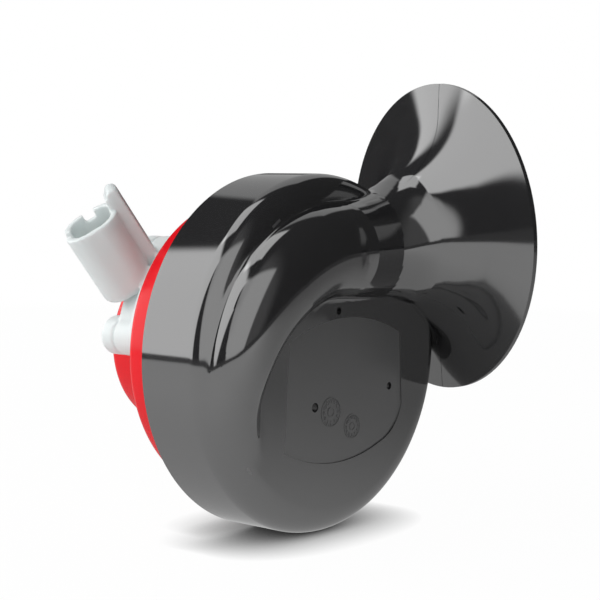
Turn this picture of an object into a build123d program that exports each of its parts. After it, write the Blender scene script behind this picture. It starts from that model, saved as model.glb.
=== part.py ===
from build123d import *
from math import cos, radians, sin, sqrt
import os

# Electric snail horn for a road vehicle.
# The origin is on the horn's axis, on the nut face that the bracket bears on.
# +Y runs back along the mounting stud, -Y towards the plain front face,
# +X towards the mouth of the trumpet, +Z up.

# ---------------------------------------------------------------- drum shell
drum_radius = 44.0
drum_depth = 22.0
drum_front_fillet = 6.9
shell_wall = 2.6
face_wall = 2.0
skirt_wall = 1.8
face_inner_fillet = 4.0

# ------------------------------------------------------------------- trumpet
# Each station is: angle about the horn's axis in degrees (0 is +X, 90 is +Z),
# how far inside the drum's wall it lies, depth in front of the drum's back edge, outer radius.
trumpet_stations = [
    (232.0, 7.2, 12.6, 5.4),
    (215.0, 8.1, 14.6, 7.3),
    (198.0, 8.7, 17.0, 7.6),
    (181.0, 9.9, 20.0, 8.0),
    (163.0, 11.9, 21.5, 9.1),
    (145.0, 14.2, 21.8, 10.3),
    (125.0, 16.6, 21.8, 10.9),
    (105.0, 18.1, 21.6, 11.3),
    (86.5, 18.5, 21.3, 11.6),
    (67.3, 16.2, 20.2, 12.5),
    (52.7, 10.9, 19.4, 13.6),
]
trumpet_wall = 2.0
parting_depth = 22.9

# ---------------------------------------------------------------------- bell
bell_inset = 2.3
bell_centre_z = 27.45
bell_centre_depth = 20.9
bell_turn = 18.5
bell_rise = 2.0
bell_rim_radius = 39.7
bell_flange_radius = 32.5
bell_throat_radius = 13.7
bell_flare_length = 24.4
bell_straight = 11.5
bell_joint = 10.5
bell_wall = 1.6
bell_rim_wall = 1.1
bell_rim_lean = 0.6
bell_rim_edge = 0.5
mouth_clearance = 4.0

# ------------------------------------------------------ panel and pinholes
panel_depth = 0.3
panel_corners = [(-19.3, -21.5), (17.4, -23.4), (26.4, -14.5), (25.5, 3.8), (-17.3, 4.6)]
panel_bottom_middle = (0.5, -26.3)
panel_corner_middle = (23.4, -19.9)
panel_top_middle = (5.5, 9.0)
pinholes = [(0.8, 10.8, 0.9), (-7.7, -11.9, 1.15), (21.4, -9.7, 0.95)]
pinhole_depth = 1.4

# --------------------------------------------- clamped stack behind the duct
ring_height = 1.4
ring_bore_gap = 0.6
ring_setback = 0.2
sheet = 1.2
flange_gap = 0.3
gasket_height = 0.6
gasket_width = 6.4
diaphragm_thickness = 0.5
floor_height = 2.5
floor_dish = 1.0
floor_rim = 9.2
throat_radius = 7.0
rib_width = 1.6
# Each rib station is: angle, share of the bore that the rib stands in.
rib_stations = [(205.0, 0.60), (270.0, 0.47), (360.0, 0.33), (450.0, 0.25), (520.0, 0.22)]

# ------------------------------------------------------------------ steel can
can_inset = 6.5
can_depth = 12.0
shoulder_width = 15.25
cup_depth = 22.8
can_edge_fillet = 1.8
cup_edge_fillet = 2.2
cup_root_fillet = 1.0

# ------------------------------------------------------------- magnet system
stud_radius = 4.0
stud_length = 11.0
stud_chamfer = 0.8
thread_root_radius = 3.4
nut_height = 4.0
nut_across_flats = 13.0
core_radius = 8.0
air_gap = 0.8
core_front = 9.0
bobbin_wall = 1.2
bobbin_gap = 0.45
bobbin_front = 12.5
winding_setback = 1.0
armature_radius = 7.6
armature_flange_radius = 12.0
armature_flange_height = 2.5
rivet_radius = 3.0
rivet_fit = 0.05
rivet_length_in_armature = 6.4
rivet_head_radius = 5.0
rivet_head_height = 1.4
washer_radius = 9.0
washer_height = 0.8

# -------------------------------------------------------------- contact maker
spring_overlap = 3.2
contact_setback = 5.0
stack_clearance = 2.3
stack_length = 9.0
stack_rivet_inset = 3.0
adjuster_inset = 6.5
strip_half_width = 4.0
strip_thickness = 0.4
strip_gap = 0.3
arm_thickness = 0.8
arm_overhang = 3.0
contact_radius = 2.0
contact_height = 0.5
insulator_height = 1.0
bracket_half_width = 5.0
bracket_sheet = 1.2
stack_rivet_radius = 1.0
stack_rivet_spacing = 5.2
stack_rivet_head = 1.7
stack_rivet_head_height = 0.6
adjuster_radius = 2.0
adjuster_length_out = 1.2
seal_radius = 3.6
seal_height = 1.8
slot_width = 0.8
slot_depth = 0.9

# ------------------------------------------------------------------ connector
connector_foot_angle = 148.0
connector_foot_outset = 1.9
connector_foot_height = 10.8
connector_axis = (-0.571, 0.125, 0.813)
connector_side = (0.592, -0.623, 0.511)
connector_length = 20.0
connector_width = 13.9
connector_thickness = 16.4
connector_corner = 5.6
connector_foot_fillet = 2.5
socket_wall = 1.6
socket_floor = 5.0
key_width = 3.0
key_depth = 2.0
latch_width = 6.0
latch_thickness = 2.9
latch_overhang = 5.0
latch_head = 3.2
base_height = 3.0
base_margin = 1.75
base_edge = 3.0
web_margin = 1.5
web_height = 10.5
boss_radius = 4.85
boss_outset = 6.05
boss_angles = (172.0, 124.5)
boss_height = 14.6
boss_collar = 4.0
boss_groove = 0.5
boss_groove_width = 0.9
boss_rivet_radius = 1.6
boss_rivet_head_radius = 3.0
boss_rivet_head_height = 0.8
boss_recess = 0.8
blade_width = 2.8
blade_thickness = 0.8
blade_spacing = 5.0
blade_reach = 15.0
tag_depth = 4.5
tag_gap = 0.6
resistor_radius = 1.5
resistor_depth = 6.4

# ------------------------------------------------- places along the horn axis
cup_end_y = -nut_height
shoulder_y = cup_end_y - cup_depth
back_y = shoulder_y - can_depth
face_y = back_y - drum_depth
parting_y = back_y - parting_depth
ring_front_y = back_y - ring_setback - ring_height
flange_front_y = ring_front_y - sheet
diaphragm_back_y = flange_front_y - gasket_height
diaphragm_front_y = diaphragm_back_y - diaphragm_thickness
floor_back_y = diaphragm_front_y - gasket_height
floor_front_y = floor_back_y - floor_height
cavity_front_y = face_y + face_wall
shoulder_inner_y = shoulder_y - sheet
cup_inner_y = cup_end_y - sheet
core_front_y = back_y + core_front
armature_back_y = core_front_y - air_gap
armature_flange_y = diaphragm_back_y + armature_flange_height
strip_front_y = armature_flange_y + strip_gap
strip_back_y = strip_front_y + strip_thickness
skirt_bore = drum_radius - skirt_wall
can_radius = drum_radius - can_inset
flange_radius = skirt_bore - flange_gap
cup_radius = can_radius - shoulder_width
bobbin_flange_radius = cup_radius - sheet - bobbin_gap
winding_radius = bobbin_flange_radius - winding_setback
stack_outer_x = can_radius - sheet - stack_clearance
stack_inner_x = stack_outer_x - stack_length
stack_rivet_x = stack_outer_x - stack_rivet_inset
adjuster_x = stack_outer_x - adjuster_inset
contact_x = stack_inner_x - contact_setback
arm_tip_x = contact_x - arm_overhang
spring_tip_x = armature_flange_radius - spring_overlap
boss_circle = cup_radius + boss_outset
base_inner_radius = cup_radius + base_margin
base_outer_radius = can_radius - base_edge
web_inner_radius = base_inner_radius + web_margin
web_outer_radius = base_outer_radius - 2 * web_margin
cavity_radius = drum_radius - shell_wall


def disc(radius, y_from, y_to, hole=0.0):
    """A cylinder about the horn's axis between two places on it, with a hole if asked."""
    height = y_to - y_from
    body = Pos(0, y_from + height / 2, 0) * Rot(90, 0, 0) * Cylinder(radius, height)
    if hole:
        body -= Pos(0, y_from + height / 2, 0) * Rot(90, 0, 0) * Cylinder(hole, height)
    return body


def rod(x, z, radius, y_from, y_to):
    """A cylinder parallel to the horn's axis, through the point x, z."""
    return Pos(x, 0, z) * disc(radius, y_from, y_to)


def block(x_from, x_to, y_from, y_to, z_half):
    """A box centred on z = 0."""
    size = Box(x_to - x_from, y_to - y_from, 2 * z_half)
    return Pos((x_from + x_to) / 2, (y_from + y_to) / 2, 0) * size


def polar(angle, radius):
    return radius * cos(radians(angle)), radius * sin(radians(angle))


def front_plane(y):
    """A plane across the horn's axis: its x is X, its y is Z, its normal faces the front."""
    return Plane(origin=(0, y, 0), x_dir=(1, 0, 0), z_dir=(0, -1, 0))


def turned(points):
    """A solid of revolution about the horn's axis, from radius and y pairs."""
    return revolve(make_face(Polyline(*points, close=True)), Axis.Y)


# ---------------------------------------------------------------- bell frame
mouth_normal = Vector(
    cos(radians(bell_rise)) * cos(radians(bell_turn)),
    -cos(radians(bell_rise)) * sin(radians(bell_turn)),
    sin(radians(bell_rise)),
)
mouth_centre = Vector(drum_radius - bell_inset, back_y - bell_centre_depth, bell_centre_z)
mouth_plane = Plane(origin=mouth_centre, z_dir=mouth_normal)


def flare_radius(behind_mouth, wall=0.0, mouth_wall=0.0):
    """Radius of the flare at a distance behind the mouth: a quarter of an ellipse."""
    along = (bell_flare_length - behind_mouth) / (bell_flare_length + mouth_wall)
    return bell_flange_radius - (bell_flange_radius - bell_throat_radius + wall) * sqrt(1 - along**2)


def trumpet_loft(wall, mouth_wall):
    """The curved tube, from its start inside the drum to the joint with the bell."""
    centres = []
    radii = []
    for angle, inset, depth, radius in trumpet_stations:
        x, z = polar(angle, drum_radius - inset)
        centres.append(Vector(x, back_y - depth, z))
        radii.append(radius - wall)
    for behind in (bell_straight, (bell_straight + bell_joint) / 2, bell_joint):
        centres.append(mouth_centre - mouth_normal * behind)
        radii.append(flare_radius(behind, wall, mouth_wall))
    wires = []
    last = len(centres) - 1
    for i, centre in enumerate(centres):
        ahead = centres[min(i + 1, last)] - centres[max(i - 1, 0)]
        if i >= last - 2:
            ahead = mouth_normal
        rail = Vector(0, -1, 0)
        across = rail - ahead.normalized() * rail.dot(ahead.normalized())
        plane = Plane(origin=centre, x_dir=across, z_dir=ahead)
        wires.append(Wire.make_circle(radii[i], plane))
    return Solid.make_loft(wires)


def bell_solid(wall, mouth_wall, rim_radius, rim_level, top):
    """The flare turned about the mouth's axis and closed by a flat end at the level top."""
    back = -bell_flare_length
    width = bell_flange_radius - bell_throat_radius + wall
    flare = EllipticalCenterArc(
        (bell_flange_radius, back), width, bell_flare_length + mouth_wall, 90, arc_size=90
    )
    corners = [
        (bell_flange_radius, mouth_wall),
        (rim_radius, rim_level),
        (rim_radius, top),
        (0, top),
        (0, back),
        (bell_flange_radius - width, back),
    ]
    profile = make_face(Curve() + [flare, Polyline(*corners)])
    depth = bell_joint + top
    window = Pos(drum_radius, top - depth / 2) * Rectangle(2 * drum_radius, depth)
    return mouth_plane.location * revolve(Plane.XZ * (profile & window), Axis.Z)


# -------------------------------------------------------------- moulded shell
def drum_outside():
    drum = disc(drum_radius, face_y, back_y)
    return fillet(drum.edges().group_by(Axis.Y)[0], drum_front_fillet)


def drum_cavity():
    cavity = disc(cavity_radius, cavity_front_y, floor_front_y)
    return fillet(cavity.edges().group_by(Axis.Y)[0], face_inner_fillet)


def panel_recess():
    """The shallow panel on the face: a long arc below, a straight right side, an arc above."""
    low_left, low_right, side_low, side_high, top_left = panel_corners
    outline = Curve() + [
        ThreePointArc(low_left, panel_bottom_middle, low_right),
        ThreePointArc(low_right, panel_corner_middle, side_low),
        Line(side_low, side_high),
        ThreePointArc(side_high, panel_top_middle, top_left),
        Line(top_left, low_left),
    ]
    return extrude(front_plane(face_y) * make_face(outline), -panel_depth)


def moulded_shell():
    """Drum, trumpet and bell as one hollow form, before it is parted."""
    trumpet = trumpet_loft(0, 0)
    air = trumpet_loft(trumpet_wall, bell_wall)
    rim_front = bell_rim_lean + bell_rim_wall
    bell = bell_solid(0, 0, bell_rim_radius, bell_rim_lean, rim_front)
    inner_rim = bell_rim_radius - bell_rim_edge
    bell_air = bell_solid(trumpet_wall, bell_wall, inner_rim, rim_front, rim_front + mouth_clearance)
    outside = drum_outside() + trumpet + bell
    cavity = drum_cavity() - trumpet - bell
    shell = outside - disc(skirt_bore, floor_front_y, back_y + 1) - cavity - air - bell_air
    shell -= panel_recess()
    for x, z, radius in pinholes:
        shell -= rod(x, z, radius, face_y - 1, face_y + pinhole_depth)
    return shell


def front_half():
    width = 8 * drum_radius
    return Pos(0, parting_y - drum_radius, 0) * Box(width, 2 * drum_radius, width)


# ------------------------------------------------- duct floor and clamped stack
def duct_floor():
    """The plate behind the duct: dished towards the diaphragm, with a spiral rib on its front."""
    plate = disc(skirt_bore, floor_front_y, floor_back_y, hole=throat_radius)
    plate -= disc(skirt_bore - floor_rim, floor_back_y - floor_dish, floor_back_y + 1)
    route = Spline(*[polar(angle, share * skirt_bore) for angle, share in rib_stations])
    rib = trace(route, rib_width)
    rib = extrude(front_plane(floor_front_y) * rib, floor_front_y - cavity_front_y)
    return plate + (rib - trumpet_loft(0, 0))


def gasket(y_from):
    return disc(flange_radius, y_from, y_from + gasket_height, hole=flange_radius - gasket_width)


def diaphragm():
    return disc(flange_radius, diaphragm_front_y, diaphragm_back_y, hole=rivet_radius + rivet_fit)


def retaining_ring():
    return disc(skirt_bore, ring_front_y, ring_front_y + ring_height, hole=can_radius + ring_bore_gap)


# ------------------------------------------------------------------ steel can
def can_outside():
    outline = [
        (0, flange_front_y),
        (flange_radius, flange_front_y),
        (flange_radius, ring_front_y),
        (can_radius, ring_front_y),
        (can_radius, shoulder_y),
        (cup_radius, shoulder_y),
        (cup_radius, cup_end_y),
        (0, cup_end_y),
    ]
    can = turned(outline)
    rims = can.edges().filter_by(GeomType.CIRCLE)
    can = fillet(rims.filter_by(lambda e: near(e, can_radius, shoulder_y)), can_edge_fillet)
    rims = can.edges().filter_by(GeomType.CIRCLE)
    can = fillet(rims.filter_by(lambda e: near(e, cup_radius, cup_end_y)), cup_edge_fillet)
    rims = can.edges().filter_by(GeomType.CIRCLE)
    return fillet(rims.filter_by(lambda e: near(e, cup_radius, shoulder_y)), cup_root_fillet)


def near(edge, radius, y):
    return abs(edge.radius - radius) < 0.01 and abs(edge.arc_center.Y - y) < 0.01


def can_inside():
    outline = [
        (0, flange_front_y - 1),
        (can_radius - sheet, flange_front_y - 1),
        (can_radius - sheet, shoulder_inner_y),
        (cup_radius - sheet, shoulder_inner_y),
        (cup_radius - sheet, cup_inner_y),
        (0, cup_inner_y),
    ]
    can = turned(outline)
    rims = can.edges().filter_by(GeomType.CIRCLE)
    corner = rims.filter_by(lambda e: near(e, can_radius - sheet, shoulder_inner_y))
    can = fillet(corner, can_edge_fillet - sheet)
    rims = can.edges().filter_by(GeomType.CIRCLE)
    corner = rims.filter_by(lambda e: near(e, cup_radius - sheet, cup_inner_y))
    return fillet(corner, cup_edge_fillet - sheet)


def steel_can():
    can = can_outside() - can_inside()
    can -= disc(stud_radius, cup_inner_y - 1, cup_end_y + 1)
    can -= rod(adjuster_x, 0, adjuster_radius, shoulder_inner_y - 1, shoulder_y + 1)
    for x, z in boss_places():
        can -= rod(x, z, boss_rivet_radius, shoulder_inner_y - 1, shoulder_y + 1)
    for tag in tag_blocks(tag_gap):
        can -= tag
    return can


# -------------------------------------------------------------- magnet system
def pole_core():
    core = disc(core_radius, core_front_y, cup_inner_y)
    stud = disc(stud_radius, 0, stud_length)
    tip = stud.edges().group_by(Axis.Y)[-1]
    neck = disc(stud_radius, cup_inner_y, cup_end_y) + disc(thread_root_radius, cup_end_y, 0)
    return core + neck + chamfer(tip, stud_chamfer)


def core_nut():
    nut = extrude(front_plane(0) * RegularPolygon(nut_across_flats / 2, 6, major_radius=False), -nut_height)
    nut = nut.moved(Pos(0, -nut_height, 0))
    return nut - disc(thread_root_radius, cup_end_y - 1, 1)


def bobbin():
    tube = core_radius + bobbin_wall
    front = back_y + bobbin_front
    body = disc(tube, front, cup_inner_y)
    body += disc(bobbin_flange_radius, front, front + bobbin_wall)
    body += disc(bobbin_flange_radius, cup_inner_y - bobbin_wall, cup_inner_y)
    cup_corner = cup_radius - sheet - (cup_edge_fillet - sheet)
    body -= disc(2 * cup_radius, cup_inner_y - bobbin_wall, cup_inner_y, hole=cup_corner)
    return body - disc(core_radius, front - 1, cup_inner_y + 1)


def coil_winding():
    front = back_y + bobbin_front + bobbin_wall
    return disc(winding_radius, front, cup_inner_y - bobbin_wall, hole=core_radius + bobbin_wall)


def armature():
    body = disc(armature_flange_radius, diaphragm_back_y, armature_flange_y)
    body += disc(armature_radius, armature_flange_y, armature_back_y)
    return body - disc(rivet_radius, diaphragm_back_y - 1, diaphragm_back_y + rivet_length_in_armature)


def diaphragm_washer():
    return disc(washer_radius, diaphragm_front_y - washer_height, diaphragm_front_y, hole=rivet_radius)


def armature_rivet():
    head_back = diaphragm_front_y - washer_height
    head = disc(rivet_head_radius, head_back - rivet_head_height, head_back)
    head = fillet(head.edges().group_by(Axis.Y)[0], rivet_head_height * 0.6)
    return head + disc(rivet_radius, head_back, diaphragm_back_y + rivet_length_in_armature)


# -------------------------------------------------------------- contact maker
arm_back_y = strip_front_y - insulator_height
arm_front_y = arm_back_y - arm_thickness
lower_insulator_back_y = strip_back_y + insulator_height
bracket_top_y = lower_insulator_back_y + bracket_sheet


def stack_rivet_tools(radius):
    front = arm_front_y - stack_rivet_head_height
    for side in (-1, 1):
        z = side * stack_rivet_spacing / 2
        yield rod(stack_rivet_x, z, radius, front, bracket_top_y + stack_rivet_head_height)


def drilled(body):
    for tool in stack_rivet_tools(stack_rivet_radius):
        body -= tool
    return body


def contact_arm():
    return drilled(block(arm_tip_x, stack_outer_x, arm_front_y, arm_back_y, strip_half_width))


def upper_insulator():
    return drilled(block(stack_inner_x, stack_outer_x, arm_back_y, strip_front_y, strip_half_width))


def contact_spring():
    return drilled(block(spring_tip_x, stack_outer_x, strip_front_y, strip_back_y, strip_half_width))


def lower_insulator():
    return drilled(block(stack_inner_x, stack_outer_x, strip_back_y, lower_insulator_back_y, strip_half_width))


def contact_bracket():
    """A channel that stands on the can's shoulder and carries the contact stack."""
    top = block(stack_inner_x, stack_outer_x, lower_insulator_back_y, bracket_top_y, bracket_half_width)
    riser_x = stack_outer_x - bracket_sheet
    riser = block(riser_x, stack_outer_x, lower_insulator_back_y, shoulder_inner_y, bracket_half_width)
    foot_y = shoulder_inner_y - bracket_sheet
    foot = block(stack_inner_x, stack_outer_x, foot_y, shoulder_inner_y, bracket_half_width)
    bracket = top + riser + foot
    bracket -= rod(adjuster_x, 0, adjuster_radius, foot_y - 1, shoulder_inner_y + 1)
    return drilled(bracket)


def stack_rivets():
    rivets = []
    for side in (-1, 1):
        z = side * stack_rivet_spacing / 2
        front = arm_front_y - stack_rivet_head_height
        back = bracket_top_y + stack_rivet_head_height
        shank = rod(stack_rivet_x, z, stack_rivet_radius, front, back)
        shank += rod(stack_rivet_x, z, stack_rivet_head, front, arm_front_y)
        rivets.append(shank + rod(stack_rivet_x, z, stack_rivet_head, bracket_top_y, back))
    return Compound(rivets)


def fixed_contact():
    return rod(contact_x, 0, contact_radius, arm_back_y, arm_back_y + contact_height)


def moving_contact():
    return rod(contact_x, 0, contact_radius, arm_back_y + contact_height, strip_front_y)


def adjusting_screw():
    end = shoulder_y + adjuster_length_out
    screw = rod(adjuster_x, 0, adjuster_radius, bracket_top_y, end)
    slot = Box(3 * adjuster_radius, 2 * slot_depth, slot_width)
    return screw - Pos(adjuster_x, end, 0) * slot


def adjuster_seal():
    """A low dome of sealing compound over the screw's end."""
    seal = rod(adjuster_x, 0, seal_radius, shoulder_y, shoulder_y + seal_height)
    seal = fillet(seal.edges().group_by(Axis.Y)[-1], seal_height * 0.8)
    return seal - rod(adjuster_x, 0, adjuster_radius, shoulder_y - 1, shoulder_y + adjuster_length_out)


# ------------------------------------------------------------------ connector
def boss_places():
    return [polar(angle, boss_circle) for angle in boss_angles]


foot_x, foot_z = polar(connector_foot_angle, boss_circle + connector_foot_outset)
connector_plane = Plane(
    origin=(foot_x, shoulder_y + connector_foot_height, foot_z),
    x_dir=connector_side,
    z_dir=connector_axis,
)


def in_connector(body):
    return connector_plane.location * body


def rounded_bar(width, thickness, corner, z_from, z_to):
    outline = RectangleRounded(width, thickness, corner)
    return extrude(Pos(0, 0, z_from) * outline, z_to - z_from)


def tag_centre(side):
    """Where a terminal's tag passes the can's shoulder, and the blade's foot above it."""
    foot = in_connector(Vertex(0, side * blade_spacing / 2, blade_width / 2))
    return foot.center()


def tag_blocks(gap=0.0):
    """The two straight tags that run from the blades through the shoulder."""
    tags = []
    for side in (-1, 1):
        foot = tag_centre(side)
        front = back_y + tag_depth
        size = Box(blade_width + 2 * gap, foot.Y - front, blade_thickness + 2 * gap)
        tags.append(Pos(foot.X, (foot.Y + front) / 2, foot.Z) * size)
    return tags


def terminal(index):
    side = (-1, 1)[index]
    blade = Pos(0, side * blade_spacing / 2, blade_reach / 2) * Box(blade_width, blade_thickness, blade_reach)
    tip = blade.edges().group_by(Axis.Z)[-1].filter_by(Axis.X)
    blade = in_connector(chamfer(tip, blade_thickness * 0.3))
    return blade + tag_blocks()[index]


def suppression_resistor():
    """A small resistor soldered between the two tags inside the can."""
    first, second = tag_centre(-1), tag_centre(1)
    y = back_y + resistor_depth
    start = Vector(first.X, y, first.Z)
    span = Vector(second.X - first.X, 0, second.Z - first.Z)
    along = Plane(origin=start, z_dir=span)
    body = along * extrude(Circle(resistor_radius), span.length)
    for tag in tag_blocks():
        body -= tag
    return max(body.solids(), key=lambda s: s.volume)


def connector_socket():
    """The plug socket with its keyed bore and the latch tongue on the side facing the can."""
    body = rounded_bar(connector_width, connector_thickness, connector_corner, 0, connector_length)
    body = fillet(body.edges().group_by(Axis.Z)[0], connector_foot_fillet)
    body -= rounded_bar(
        connector_width - 2 * socket_wall,
        connector_thickness - 2 * socket_wall,
        connector_corner - socket_wall,
        socket_floor,
        connector_length + 1,
    )
    side_key = Box(connector_width, key_width, 2 * key_depth)
    body -= Pos(-connector_width / 2, 0, connector_length) * side_key
    back_key = Box(key_width, connector_thickness, 2 * key_depth)
    body -= Pos(0, connector_thickness / 2, connector_length) * back_key
    tongue_top = connector_length + latch_overhang - latch_head / 2
    tongue_foot = connector_foot_fillet
    tongue = Box(latch_thickness + 1, latch_width, tongue_top - tongue_foot)
    tongue_x = connector_width / 2 + (latch_thickness - 1) / 2
    tongue = Pos(tongue_x, 0, (tongue_top + tongue_foot) / 2) * tongue
    tongue -= rounded_bar(
        connector_width - 2 * socket_wall,
        connector_thickness - 2 * socket_wall,
        connector_corner - socket_wall,
        socket_floor,
        connector_length,
    )
    head_x = connector_width / 2 + latch_thickness - latch_head / 2
    head = Pos(head_x, 0, tongue_top) * Rot(90, 0, 0) * Cylinder(latch_head / 2, latch_width)
    return in_connector(body + tongue + head)


def base_sector(inner, outer, height):
    """A piece of a ring on the can's shoulder, between the two bosses."""
    ring = Circle(outer) - Circle(inner)
    reach = 3 * can_radius
    spread = [polar(boss_angles[1], reach), (0, 0), polar(boss_angles[0], reach)]
    ring &= make_face(Polyline(*spread, close=True))
    return extrude(front_plane(shoulder_y) * ring, -height)


def connector_base():
    """The foot on the can's shoulder, curved round the cup, with its web and two bosses."""
    plate = base_sector(base_inner_radius, base_outer_radius, base_height)
    plate += base_sector(web_inner_radius, web_outer_radius, web_height)
    for x, z in boss_places():
        top = shoulder_y + boss_height
        boss = rod(x, z, boss_radius, shoulder_y, top)
        boss = fillet(boss.edges().group_by(Axis.Y)[-1], 1.0)
        groove_y = top - boss_collar
        groove = rod(x, z, 2 * boss_radius, groove_y - boss_groove_width, groove_y)
        groove -= rod(x, z, boss_radius - boss_groove, groove_y - boss_groove_width, groove_y)
        plate += boss - groove
    return plate


def connector_housing():
    housing = connector_socket() + connector_base()
    top = shoulder_y + boss_height
    for x, z in boss_places():
        housing -= rod(x, z, boss_rivet_radius, shoulder_y - 1, top + 1)
        housing -= rod(x, z, boss_rivet_head_radius, top - boss_recess, top + 1)
    for index in (0, 1):
        housing -= terminal(index)
    return housing


def boss_rivets():
    rivets = []
    outer = shoulder_y + boss_height - boss_recess
    inner = shoulder_inner_y - boss_rivet_head_height
    for x, z in boss_places():
        rivet = rod(x, z, boss_rivet_radius, shoulder_inner_y, outer)
        rivet += rod(x, z, boss_rivet_head_radius, inner, shoulder_inner_y)
        rivets.append(rivet + rod(x, z, boss_rivet_head_radius, outer, outer + boss_rivet_head_height))
    return Compound(rivets)


# ----------------------------------------------------------------------- build
shell = moulded_shell()
nodes = {
    "drum_shell": shell - front_half(),
    "trumpet_cover": shell & front_half(),
    "duct_floor": duct_floor(),
    "front_gasket": gasket(floor_back_y),
    "diaphragm": diaphragm(),
    "rear_gasket": gasket(diaphragm_back_y),
    "steel_can": steel_can(),
    "retaining_ring": retaining_ring(),
    "pole_core": pole_core(),
    "core_nut": core_nut(),
    "bobbin": bobbin(),
    "coil_winding": coil_winding(),
    "armature": armature(),
    "diaphragm_washer": diaphragm_washer(),
    "armature_rivet": armature_rivet(),
    "contact_arm": contact_arm(),
    "fixed_contact": fixed_contact(),
    "moving_contact": moving_contact(),
    "contact_spring": contact_spring(),
    "upper_insulator": upper_insulator(),
    "lower_insulator": lower_insulator(),
    "contact_bracket": contact_bracket(),
    "stack_rivets": stack_rivets(),
    "adjusting_screw": adjusting_screw(),
    "adjuster_seal": adjuster_seal(),
    "connector_housing": connector_housing(),
    "terminal_live": terminal(0),
    "terminal_earth": terminal(1),
    "suppression_resistor": suppression_resistor(),
    "boss_rivets": boss_rivets(),
}

os.makedirs("parts", exist_ok=True)
for name, solid in nodes.items():
    export_step(solid, f"parts/{name}.step")
    print(name, len(solid.solids()), round(solid.volume, 1))
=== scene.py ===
import math

import bmesh
import bpy
import numpy as np
from mathutils import Matrix, Vector


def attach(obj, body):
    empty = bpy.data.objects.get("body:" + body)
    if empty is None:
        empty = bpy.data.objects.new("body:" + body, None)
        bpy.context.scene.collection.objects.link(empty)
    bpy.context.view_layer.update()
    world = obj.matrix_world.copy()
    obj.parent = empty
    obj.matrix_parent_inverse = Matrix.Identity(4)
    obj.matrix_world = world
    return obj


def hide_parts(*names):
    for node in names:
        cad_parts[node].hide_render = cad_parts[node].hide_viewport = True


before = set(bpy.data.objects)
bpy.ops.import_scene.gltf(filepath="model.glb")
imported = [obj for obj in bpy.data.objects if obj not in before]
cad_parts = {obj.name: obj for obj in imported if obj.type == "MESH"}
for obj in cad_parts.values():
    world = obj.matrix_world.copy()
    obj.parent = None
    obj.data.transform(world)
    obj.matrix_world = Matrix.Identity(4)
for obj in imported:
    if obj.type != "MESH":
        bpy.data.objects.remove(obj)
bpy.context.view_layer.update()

millimetre = 0.001
backY = -38.8  # the drum's back edge, which the depths below are counted from
print("frame loaded")


class Wire:
    # One output socket of a node tree; sums of wires add their Math nodes.
    def __init__(self, tree, socket):
        self.tree = tree
        self.socket = socket

    def maths(self, operation, *values):
        return node(self.tree, "ShaderNodeMath", {"operation": operation}, *values)

    def __add__(self, other):
        return self.maths("ADD", self, other)

    def __radd__(self, other):
        return self.maths("ADD", other, self)

    def __sub__(self, other):
        return self.maths("SUBTRACT", self, other)

    def __rsub__(self, other):
        return self.maths("SUBTRACT", other, self)

    def __mul__(self, other):
        return self.maths("MULTIPLY", self, other)

    def __rmul__(self, other):
        return self.maths("MULTIPLY", other, self)


def node(tree, kind, settings, *inputs, output=0, **named):
    made = tree.nodes.new(kind)
    for key, value in settings.items():
        setattr(made, key, value)
    pairs = [(made.inputs[i], value) for i, value in enumerate(inputs)]
    pairs += [(made.inputs[name.replace("_", " ")], value) for name, value in named.items()]
    for socket, value in pairs:
        if isinstance(value, Wire):
            tree.links.new(value.socket, socket)
        elif value is not None:
            socket.default_value = value
    return Wire(tree, made.outputs[output])


def newMaterial(name):
    material = bpy.data.materials.new(name)
    material.use_nodes = True
    tree = material.node_tree
    tree.nodes.clear()
    return material, tree


def finishMaterial(tree, surface):
    end = tree.nodes.new("ShaderNodeOutputMaterial")
    tree.links.new(surface.socket, end.inputs["Surface"])


def objectPlace(tree):
    return node(tree, "ShaderNodeTexCoord", {}, output="Object")


def along(tree, place, axis):
    return node(tree, "ShaderNodeSeparateXYZ", {}, place, output=axis)


def smoothRamp(tree, value, start, end, low=0.0, high=1.0):
    return node(tree, "ShaderNodeMapRange", {"interpolation_type": "SMOOTHSTEP"},
                Value=value, From_Min=start, From_Max=end, To_Min=low, To_Max=high)


def noise(tree, place, scale, detail=2.0):
    return node(tree, "ShaderNodeTexNoise", {}, Vector=place, Scale=scale, Detail=detail)


def mixColour(tree, factor, first, second):
    mixed = tree.nodes.new("ShaderNodeMix")
    mixed.data_type = "RGBA"
    for i, value in ((0, factor), (6, first), (7, second)):
        socket = mixed.inputs[i]
        if isinstance(value, Wire):
            tree.links.new(value.socket, socket)
        elif isinstance(value, tuple):
            socket.default_value = (*value, 1)
        else:
            socket.default_value = value
    return Wire(tree, mixed.outputs[2])


def plainFinish(name, colour, roughness, metallic=0.0, ior=1.5, spread=0.15, driftScale=60.0,
                grainScale=400.0, grainDetail=4.0, grainHeight=0.00001, shade=0.9,
                subsurface=0.0, sheenDepth=0.001):
    # A finish whose roughness and tone drift a little over the surface, with a fine grain.
    material, tree = newMaterial(name)
    place = objectPlace(tree)
    drift = noise(tree, place, driftScale)
    grain = noise(tree, place, grainScale, grainDetail)
    bump = node(tree, "ShaderNodeBump", {}, Distance=grainHeight, Strength=1.0, Height=grain)
    darker = tuple(c * shade for c in colour)
    surface = node(
        tree, "ShaderNodeBsdfPrincipled", {},
        Base_Color=mixColour(tree, drift, darker, colour),
        Roughness=roughness * (1 - spread) + drift * (2 * spread * roughness),
        Metallic=metallic,
        IOR=ior,
        Subsurface_Weight=subsurface,
        Subsurface_Radius=(1.0, 1.0, 1.0),
        Subsurface_Scale=sheenDepth,
        Normal=bump,
    )
    finishMaterial(tree, surface)
    return material


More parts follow.
